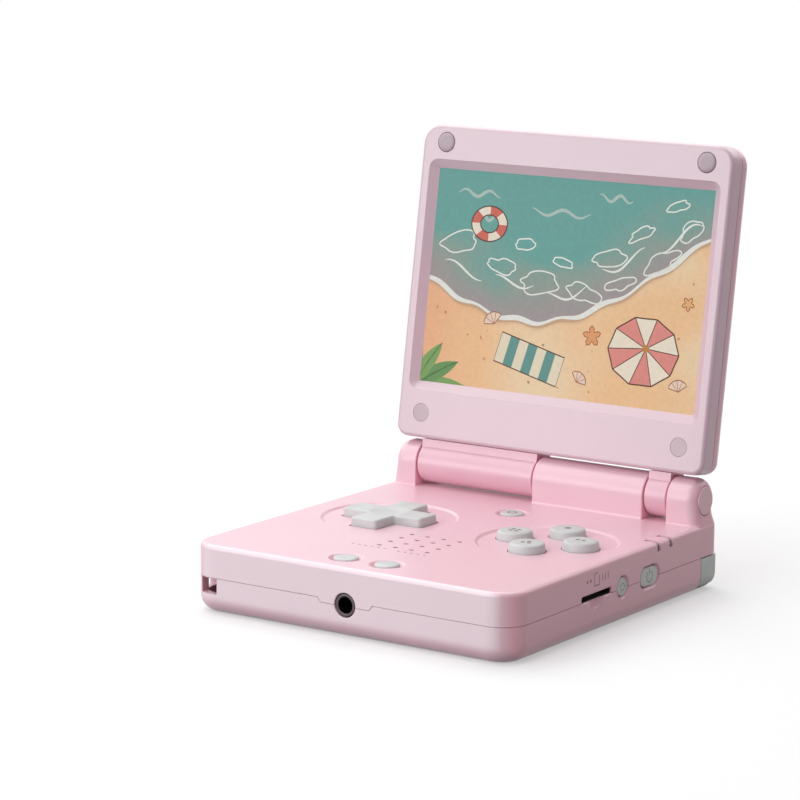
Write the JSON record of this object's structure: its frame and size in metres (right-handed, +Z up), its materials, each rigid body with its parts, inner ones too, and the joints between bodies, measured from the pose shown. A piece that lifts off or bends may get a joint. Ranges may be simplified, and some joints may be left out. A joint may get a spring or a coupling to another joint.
{
  "type": "clamshell handheld game console",
  "caption": "Open clamshell handheld game console in pink plastic: screen lid on a barrel hinge, cross pad, face buttons, speaker grille, side and shoulder buttons.",
  "frame": {"origin": "centre of the base's flat underside", "axes": "+Z up, +X towards the player's right, +Y from the front edge towards the hinge"},
  "size_m": [0.0854, 0.1016, 0.1013],
  "materials": {
    "shell_pink": "satin",
    "lid_pink": "satin",
    "bezel_pink": "satin",
    "button_grey": "satin",
    "shoulder_grey": "satin",
    "bumper_rubber": "matt",
    "plug_mauve": "matt",
    "mat_rubber": "matt",
    "screw_steel": "turned",
    "port_steel": "satin",
    "dark_metal": "satin",
    "jack_dark": "satin",
    "speaker_dark": "matt",
    "screen_glass": "polished",
    "panel_dark": "matt",
    "lamp_lens": "frosted",
    "board_green": "satin",
    "battery_wrap": "satin",
    "ribbon": "satin",
    "plate_grey": "satin"
  },
  "bodies": {
    "base": {"base_top_shell": "shell_pink", "base_bottom_shell": "shell_pink", "battery_cover": "shell_pink", "battery_cover_screw": "screw_steel", "case_screw_1": "screw_steel", "case_screw_2": "screw_steel", "case_screw_3": "screw_steel", "case_screw_4": "screw_steel", "main_board": "board_green", "battery_pack": "battery_wrap", "speaker": "speaker_dark", "headphone_jack": "jack_dark", "usb_port": "port_steel", "video_port": "port_steel", "card_socket_left": "dark_metal", "card_socket_right": "dark_metal", "lamp_front": "lamp_lens", "lamp_rear": "lamp_lens", "dpad_key_mat": "mat_rubber", "face_key_mat": "mat_rubber", "option_key_mat": "mat_rubber", "menu_key_mat": "mat_rubber", "hinge_cap_left": "shell_pink", "hinge_cap_right": "shell_pink", "hinge_shaft": "screw_steel", "hinge_pin": "screw_steel", "hinge_bush": "dark_metal"},
    "lid": {"lid_bezel": "bezel_pink", "lid_back_cover": "lid_pink", "display_panel": "panel_dark", "display_glass": "screen_glass", "display_gasket": "mat_rubber", "bumper_left": "bumper_rubber", "bumper_right": "bumper_rubber", "plug_left": "plug_mauve", "plug_right": "plug_mauve", "lid_screw_1": "screw_steel", "lid_screw_2": "screw_steel", "lid_screw_3": "screw_steel", "lid_screw_4": "screw_steel", "name_plate": "plate_grey", "display_cable": "ribbon", "hinge_cartridge": "dark_metal"},
    "dpad_rocker": {"dpad_rocker": "mat_rubber"},
    "dpad": {"dpad": "button_grey"},
    "face_button_top": {"face_button_top": "button_grey"},
    "face_button_bottom": {"face_button_bottom": "button_grey"},
    "face_button_left": {"face_button_left": "button_grey"},
    "face_button_right": {"face_button_right": "button_grey"},
    "menu_button": {"menu_button": "button_grey"},
    "select_button": {"select_button": "button_grey"},
    "start_button": {"start_button": "button_grey"},
    "reset_button": {"reset_button": "button_grey"},
    "power_button": {"power_button": "button_grey"},
    "volume_rocker": {"volume_rocker": "button_grey"},
    "shoulder_outer_left": {"shoulder_outer_left": "shoulder_grey"},
    "shoulder_outer_right": {"shoulder_outer_right": "shoulder_grey"},
    "shoulder_inner_left": {"shoulder_inner_left": "shoulder_grey"},
    "shoulder_inner_right": {"shoulder_inner_right": "shoulder_grey"}
  },
  "joints": [
    {"name": "lid_hinge", "type": "hinge", "parent": "base", "child": "lid", "pos_m": [0, 0.0394, 0.0209], "axis": [-1, 0, 0], "range_deg": [-98.9, 51.1]},
    {"name": "dpad_tilt_front_back", "type": "hinge", "parent": "base", "child": "dpad_rocker", "pos_m": [-0.0204, 0.0022, 0.0122], "axis": [1, 0, 0], "range_deg": [-3, 3], "stiffness_Nm_per_rad": 0.08},
    {"name": "dpad_tilt_left_right", "type": "hinge", "parent": "dpad_rocker", "child": "dpad", "pos_m": [-0.0204, 0.0022, 0.0122], "axis": [0, 1, 0], "range_deg": [-3, 3], "stiffness_Nm_per_rad": 0.08},
    {"name": "face_top_press", "type": "slide", "parent": "base", "child": "face_button_top", "axis": [0, 0, -1], "range_m": [0, 0.001], "stiffness_N_per_m": 300, "springref_m": -0.0003},
    {"name": "face_bottom_press", "type": "slide", "parent": "base", "child": "face_button_bottom", "axis": [0, 0, -1], "range_m": [0, 0.001], "stiffness_N_per_m": 300, "springref_m": -0.0003},
    {"name": "face_left_press", "type": "slide", "parent": "base", "child": "face_button_left", "axis": [0, 0, -1], "range_m": [0, 0.001], "stiffness_N_per_m": 300, "springref_m": -0.0003},
    {"name": "face_right_press", "type": "slide", "parent": "base", "child": "face_button_right", "axis": [0, 0, -1], "range_m": [0, 0.001], "stiffness_N_per_m": 300, "springref_m": -0.0003},
    {"name": "menu_press", "type": "slide", "parent": "base", "child": "menu_button", "axis": [0, 0, -1], "range_m": [0, 0.0005], "stiffness_N_per_m": 400, "springref_m": -0.0003},
    {"name": "select_press", "type": "slide", "parent": "base", "child": "select_button", "axis": [0, 0, -1], "range_m": [0, 0.0005], "stiffness_N_per_m": 400, "springref_m": -0.0003},
    {"name": "start_press", "type": "slide", "parent": "base", "child": "start_button", "axis": [0, 0, -1], "range_m": [0, 0.0005], "stiffness_N_per_m": 400, "springref_m": -0.0003},
    {"name": "reset_press", "type": "slide", "parent": "base", "child": "reset_button", "axis": [-1, 0, 0], "range_m": [0, 0.0005], "stiffness_N_per_m": 400, "springref_m": -0.0003},
    {"name": "power_press", "type": "slide", "parent": "base", "child": "power_button", "axis": [-1, 0, 0], "range_m": [0, 0.0005], "stiffness_N_per_m": 400, "springref_m": -0.0003},
    {"name": "volume_rock", "type": "hinge", "parent": "base", "child": "volume_rocker", "pos_m": [-0.0395, 0.004, 0.0086], "axis": [0, 0, 1], "range_deg": [-2, 2], "stiffness_Nm_per_rad": 0.1},
    {"name": "shoulder_outer_left_press", "type": "hinge", "parent": "base", "child": "shoulder_outer_left", "pos_m": [-0.0412, 0.037, 0.0047], "axis": [0, 0, -1], "range_deg": [0, 2.2], "stiffness_Nm_per_rad": 0.1, "springref_deg": -1.15},
    {"name": "shoulder_outer_right_press", "type": "hinge", "parent": "base", "child": "shoulder_outer_right", "pos_m": [0.0412, 0.037, 0.0047], "axis": [0, 0, 1], "range_deg": [0, 2.2], "stiffness_Nm_per_rad": 0.1, "springref_deg": -1.15},
    {"name": "shoulder_inner_left_press", "type": "slide", "parent": "base", "child": "shoulder_inner_left", "axis": [0, -1, 0], "range_m": [0, 0.0008], "stiffness_N_per_m": 300, "springref_m": -0.0003},
    {"name": "shoulder_inner_right_press", "type": "slide", "parent": "base", "child": "shoulder_inner_right", "axis": [0, -1, 0], "range_m": [0, 0.0008], "stiffness_N_per_m": 300, "springref_m": -0.0003}
  ]
}
